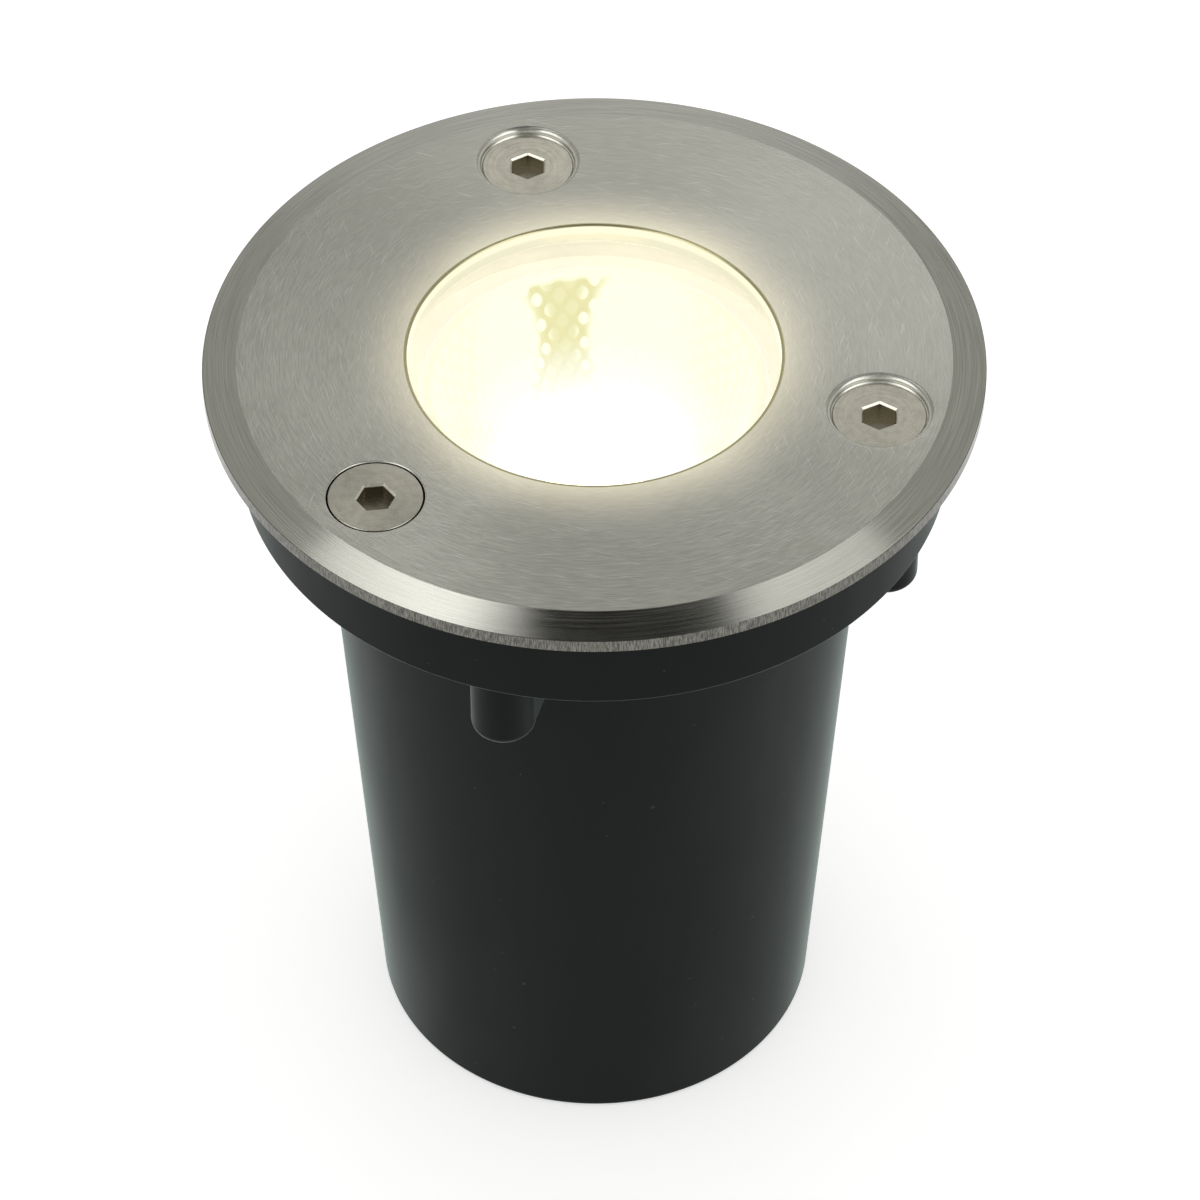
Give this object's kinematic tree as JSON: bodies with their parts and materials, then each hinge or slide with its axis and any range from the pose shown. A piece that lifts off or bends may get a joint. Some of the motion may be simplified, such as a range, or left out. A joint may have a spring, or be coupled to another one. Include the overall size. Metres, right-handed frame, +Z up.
{
  "type": "in ground well light",
  "caption": "Round in-ground well light: dark tapered installation sleeve, brushed stainless bezel with three countersunk screws, lit glass window over a reflector lamp.",
  "frame": {"origin": "centre of the sleeve's flat base, on the light's axis", "axes": "+Z up along the light's axis, out of the glass; -Y to the side of the sleeve whose boss stands in front in the picture"},
  "size_m": [0.11, 0.11, 0.127],
  "materials": {
    "black_moulded_plastic": "matt moulded",
    "cast_aluminium": "die-cast",
    "brushed_stainless": "brushed",
    "satin_screw_steel": "satin",
    "toughened_glass": "clear",
    "white_silicone": "translucent",
    "black_rubber": "matt",
    "white_plastic": "satin",
    "reflector_metallised": "faceted",
    "led_emitter": "lit",
    "nickel_brass": "plated",
    "steatite": "unglazed",
    "zinc_steel": "zinc plated",
    "wire_brown": "insulation",
    "wire_blue": "insulation",
    "wire_green_yellow": "insulation",
    "black_nylon": "satin"
  },
  "bodies": {
    "sleeve": {"installation_sleeve": "black_moulded_plastic", "flange_gasket": "black_rubber"},
    "luminaire": {"lamp_housing": "cast_aluminium", "lower_glass_seal": "white_silicone", "lamp_centring_ring": "white_plastic", "lampholder": "steatite", "holder_contacts": "nickel_brass", "holder_screws": "zinc_steel", "lampholder_bracket": "zinc_steel", "bracket_screws": "zinc_steel", "terminal_block": "white_plastic", "terminal_screws": "zinc_steel", "lead_live": "wire_brown", "lead_neutral": "wire_blue", "lead_earth": "wire_green_yellow", "earth_terminal": "nickel_brass", "earth_screw": "zinc_steel", "gland_body": "black_nylon", "gland_nut": "black_nylon", "gland_washer": "black_rubber", "gland_seal": "black_rubber", "gland_cap": "black_nylon"},
    "cover": {"bezel": "brushed_stainless", "upper_glass_seal": "white_silicone", "front_glass": "toughened_glass"},
    "lamp": {"lamp_shell": "white_plastic", "lamp_reflector": "reflector_metallised", "led_module": "led_emitter", "lamp_pins": "nickel_brass"},
    "cover_screw_1": {"cover_screw_1": "satin_screw_steel"},
    "cover_screw_2": {"cover_screw_2": "satin_screw_steel"},
    "cover_screw_3": {"cover_screw_3": "satin_screw_steel"}
  },
  "joints": [
    {"name": "luminaire_lift", "type": "slide", "parent": "sleeve", "child": "luminaire", "axis": [0, 0, 1], "range_m": [0, 0.13]},
    {"name": "cover_lift", "type": "slide", "parent": "luminaire", "child": "cover", "axis": [0, 0, 1], "range_m": [0, 0.04]},
    {"name": "lamp_twist", "type": "hinge", "parent": "luminaire", "child": "lamp", "pos_m": [0, 0, 0.09], "axis": [0, 0, 1], "range_deg": [0, 45]},
    {"name": "cover_screw_1_turn", "type": "hinge", "parent": "cover", "child": "cover_screw_1", "pos_m": [-0.00964, 0.04016, 0.12], "axis": [0, 0, 1], "continuous": true},
    {"name": "cover_screw_2_turn", "type": "hinge", "parent": "cover", "child": "cover_screw_2", "pos_m": [-0.02996, -0.02843, 0.12], "axis": [0, 0, 1], "continuous": true},
    {"name": "cover_screw_3_turn", "type": "hinge", "parent": "cover", "child": "cover_screw_3", "pos_m": [0.0396, -0.01173, 0.12], "axis": [0, 0, 1], "continuous": true}
  ]
}
